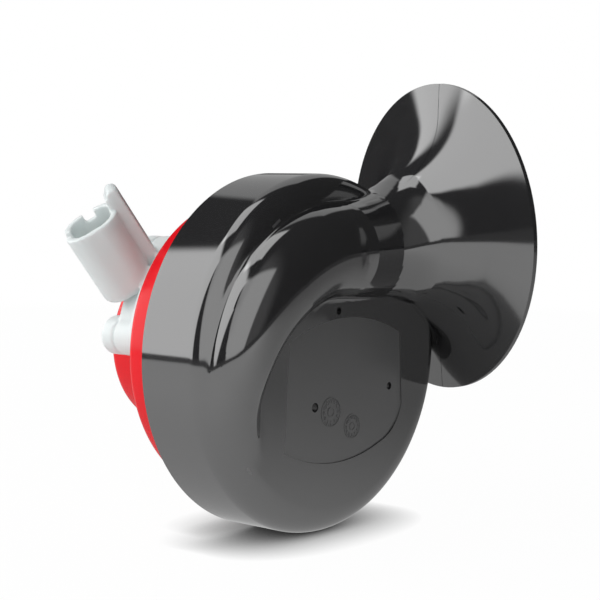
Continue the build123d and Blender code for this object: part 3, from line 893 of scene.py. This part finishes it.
# nodes that aren't named here are zinc plated
plainNodes = {
    "terminal_live": "tinnedBrass", "terminal_earth": "tinnedBrass", "adjuster_seal": "darkSeal",
    "duct_floor": "mouldedFloor", "coil_winding": "copperWire", "front_gasket": "rubberBlack",
    "rear_gasket": "rubberBlack", "bobbin": "milkyNylon", "upper_insulator": "laminate",
    "lower_insulator": "laminate", "suppression_resistor": "laminate",
}
for nodeName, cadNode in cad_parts.items():
    if cadNode.hide_render:
        continue
    cadNode.data.materials.clear()
    cadNode.data.materials.append(materials[plainNodes.get(nodeName, "zincPlate")])
print("pieces dressed")


view = {
    "place": (-289.10, -296.89, 45.64), "right": (0.65106, -0.75902, 0.00283),
    "up": (0.06328, 0.05799, 0.99631), "lens": 92.91, "sensor": 36.0, "clipStart": 0.01,
}
cameraData = bpy.data.cameras.new("camera")
cameraData.lens = view["lens"]
cameraData.sensor_width = view["sensor"]
cameraData.clip_start = view["clipStart"]
camera = bpy.data.objects.new("camera", cameraData)
right, up = Vector(view["right"]).normalized(), Vector(view["up"]).normalized()
back = right.cross(up).normalized()
up = back.cross(right)
turnMatrix = Matrix((right, up, back)).transposed()
camera.matrix_world = Matrix.LocRotScale(
    Vector(view["place"]) * millimetre, turnMatrix.to_quaternion(), None)
bpy.context.scene.collection.objects.link(camera)
bpy.context.scene.camera = camera

studio = {
    "floorZ": -44.2, "floorReach": 3000.0, "paperReach": 560.0, "paperFade": 80.0,
    # the paper's own colour, then the floor's painted reflection glow on the left, on the right and
    # far off
    "paper": (0.85, 0.85, 0.85, 1), "reflectionGlowLeft": 0.82, "reflectionGlowRight": 0.27, "reflectionGlowBeyond": 0.1,
    # how far, and with how many samples, the floor's painted contact shadow reaches
    "litShare": 0.02, "paintedShadowReach": 13.0, "paintedShadowSamples": 16,
    "distance": 1400.0, "softEdge": 0.1, "ceiling": 0.045, "leftWall": 0.2,
    # where, in metres, the floor's painted reflection glow turns from its left to its right
    # strength, and the wall sets in
    "paperTurn": (-0.15, 0.2), "wallLeft": (0.0, -0.35), "wallFront": (0.08, -0.1),
    # the way to each lamp (degrees round from the front, degrees up), its width and height
    # in degrees, and its brightness
    "lamps": {
        "rearBox": (-132, 27, 44, 68, 1.8),
        "backBox": (-169, 14, 38, 48, 1.8),
        "topBox": (-172, 66, 30, 26, 1.5),
        "leftBox": (-64, 30, 56, 70, 0.95),
        "farBox": (130, 36, 36, 54, 0.5),
        "fill": (-105, 55, 60, 60, 1.05),
    },
    # lamps that light the pieces and don't show in their gloss
    "soft": ("fill",),
}


def softLamp(name, around, height, wide, tall, brightness):
    turned, raised = math.radians(around), math.radians(height)
    level = math.cos(raised)
    away = Vector((level * math.sin(turned), -level * math.cos(turned), math.sin(raised)))
    distance = studio["distance"] * millimetre
    lamp = bpy.data.lights.new(name, "AREA")
    lamp.shape = "RECTANGLE"
    lamp.size = 2 * distance * math.tan(math.radians(wide / 2))
    lamp.size_y = 2 * distance * math.tan(math.radians(tall / 2))
    lamp.energy = brightness * math.pi * lamp.size * lamp.size_y
    lamp.use_nodes = True
    tree = lamp.node_tree
    tree.nodes.clear()
    spot = node(tree, "ShaderNodeTexCoord", {}, output="UV")
    share = 1.0
    for side in ("X", "Y"):
        place = along(tree, spot, side)
        inside = 0.5 - place.maths("ABSOLUTE", place - 0.5)
        share = smoothRamp(tree, inside, 0.0, studio["softEdge"]) * share
    glow = node(tree, "ShaderNodeEmission", {}, Color=(1, 1, 1, 1), Strength=share)
    end = tree.nodes.new("ShaderNodeOutputLight")
    tree.links.new(glow.socket, end.inputs["Surface"])
    made = bpy.data.objects.new(name, lamp)
    made.location = away * distance
    made.rotation_euler = (-away).to_track_quat("-Z", "Y").to_euler()
    made.visible_camera = False
    made.visible_glossy = name not in studio["soft"]
    bpy.context.scene.collection.objects.link(made)


def seenDirectly(tree):
    # 1 for rays from the camera, also through a clear piece, and 0 for all others.
    straightOn = node(tree, "ShaderNodeLightPath", {}, output="Is Camera Ray")
    through = node(tree, "ShaderNodeLightPath", {}, output="Is Transmission Ray")
    return straightOn.maths("MAXIMUM", straightOn, through)


def paperFloor():
    reach, level = studio["floorReach"], studio["floorZ"]
    corners = [(x * reach, y * reach, level) for x, y in ((-1, -1), (1, -1), (1, 1), (-1, 1))]
    floor = makeObject("floor", corners, [(0, 1, 2, 3)])
    material, tree = newMaterial("paleFloor")
    seen = seenDirectly(tree)
    glossy = node(tree, "ShaderNodeLightPath", {}, output="Is Glossy Ray")
    place = objectPlace(tree)
    distance = node(tree, "ShaderNodeVectorMath", {"operation": "LENGTH"}, place, output="Value")
    start, fade = studio["paperReach"] * millimetre, studio["paperFade"] * millimetre
    near = smoothRamp(tree, distance, start + fade, start)
    # painted contact shadow: ambient occlusion darkens the floor's glow where the horn comes near
    paintedShadowOpenness = node(tree, "ShaderNodeAmbientOcclusion", {"samples": studio["paintedShadowSamples"]},
                    Distance=studio["paintedShadowReach"] * millimetre, output="AO")
    lit = near * studio["litShare"]
    glowSeenWithPaintedShadow = (1.0 - lit) * paintedShadowOpenness
    # painted reflection: glossy rays see the floor glow, lighter on the left than on the right, as
    # if lit from the left
    paintedReflectionGlow = smoothRamp(tree, along(tree, place, "X"), *studio["paperTurn"],
                           studio["reflectionGlowLeft"], studio["reflectionGlowRight"])
    glowGlossy = studio["reflectionGlowBeyond"] + near * (paintedReflectionGlow - studio["reflectionGlowBeyond"])
    strength = seen * glowSeenWithPaintedShadow + glossy * glowGlossy
    glow = node(tree, "ShaderNodeEmission", {}, Color=(1, 1, 1, 1), Strength=strength)
    paper = node(tree, "ShaderNodeBsdfDiffuse", {}, Color=studio["paper"])
    shown = node(tree, "ShaderNodeAddShader", {}, paper, glow)
    plain = seen * (1.0 - lit)
    far = node(tree, "ShaderNodeMixShader", {}, plain.maths("MAXIMUM", plain, glossy), shown, glow)
    finishMaterial(tree, far)
    # the paper is only met by rays that leave a surface: its mirror image stays free of grain
    material.cycles.emission_sampling = "NONE"
    floor.data.materials.append(material)


def studioWorld():
    world = bpy.data.worlds.new("world")
    bpy.context.scene.world = world
    world.use_nodes = True
    tree = world.node_tree
    tree.nodes.clear()
    place = objectPlace(tree)
    left = smoothRamp(tree, along(tree, place, "X"), *studio["wallLeft"])
    ahead = smoothRamp(tree, along(tree, place, "Y"), *studio["wallFront"])
    dim = studio["ceiling"] + left * ahead * (studio["leftWall"] - studio["ceiling"])
    strength = dim + seenDirectly(tree) * (1.0 - dim)
    sky = node(tree, "ShaderNodeBackground", {}, Color=(1, 1, 1, 1), Strength=strength)
    end = tree.nodes.new("ShaderNodeOutputWorld")
    tree.links.new(sky.socket, end.inputs["Surface"])


paperFloor()
for name, facts in studio["lamps"].items():
    softLamp(name, *facts)
studioWorld()
bpy.context.scene.view_settings.view_transform = "Standard"

print("stage set")
